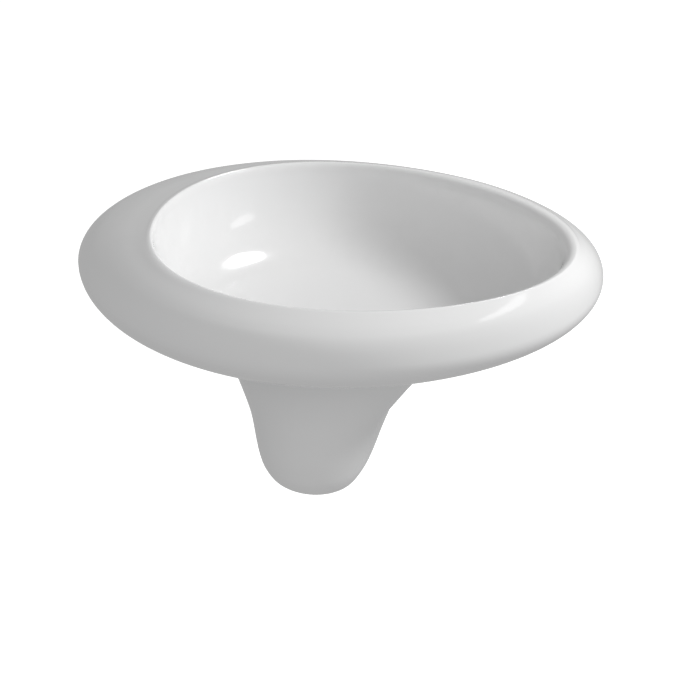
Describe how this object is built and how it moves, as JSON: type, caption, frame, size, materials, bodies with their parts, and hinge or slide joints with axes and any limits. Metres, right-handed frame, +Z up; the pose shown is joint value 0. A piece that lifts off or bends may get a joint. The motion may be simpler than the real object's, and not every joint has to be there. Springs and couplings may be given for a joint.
{
  "type": "wall-hung basin",
  "caption": "Wall-hung oval ceramic wash basin with an off-centre bowl, a rounded hollow rim, a ceramic trap cover, bottle trap and click waste.",
  "frame": {"origin": "on the wall plane, midway between the two hanging studs", "axes": "+X to the right seen from in front, +Y into the wall, +Z up; the basin projects towards -Y"},
  "size_m": [0.6631, 0.586, 0.348],
  "materials": {
    "white_ceramic": "smooth white glaze",
    "zinc_steel": "zinc plated",
    "galvanised_steel": "galvanised sheet",
    "white_nylon": "moulded nylon",
    "white_cap": "gloss moulded",
    "chrome_plate": "polished chrome plate",
    "black_rubber": "matt EPDM",
    "grey_plastic": "moulded polypropylene",
    "spring_steel": "drawn stainless wire",
    "brass_stem": "turned brass",
    "brass_nut": "cast and turned brass"
  },
  "bodies": {
    "basin": {"basin_body": "white_ceramic", "trap_cover": "white_ceramic", "hanger_studs": "zinc_steel", "stud_sleeves": "white_nylon", "stud_washers": "zinc_steel", "stud_nuts": "zinc_steel", "stud_nut_caps": "white_cap", "cover_brackets": "galvanised_steel", "bracket_wall_screws": "zinc_steel", "cover_side_screws": "zinc_steel", "cover_screw_nuts": "zinc_steel", "cover_screw_caps": "white_cap", "overflow_ring": "chrome_plate", "waste_flange_seal": "black_rubber", "waste_body": "chrome_plate", "click_cartridge": "grey_plastic", "click_spring": "spring_steel", "waste_under_seal": "black_rubber", "waste_backing_washer": "grey_plastic", "waste_locknut": "brass_nut", "trap_inlet_nut": "chrome_plate", "trap_inlet_seal": "black_rubber", "trap_head": "chrome_plate", "trap_dip_tube": "grey_plastic", "trap_cup_seal": "black_rubber", "trap_cup": "chrome_plate", "trap_outlet_nut": "chrome_plate", "trap_outlet_seal": "black_rubber", "outlet_pipe": "chrome_plate"},
    "plug": {"plug_cap": "chrome_plate", "plug_seal": "black_rubber", "plug_stem": "brass_stem"}
  },
  "joints": [
    {"name": "plug_press", "type": "slide", "parent": "basin", "child": "plug", "axis": [0, 0, -1], "range_m": [0, 0.008], "stiffness_N_per_m": 180, "springref_m": -0.004, "deforming": ["click_spring"]}
  ]
}
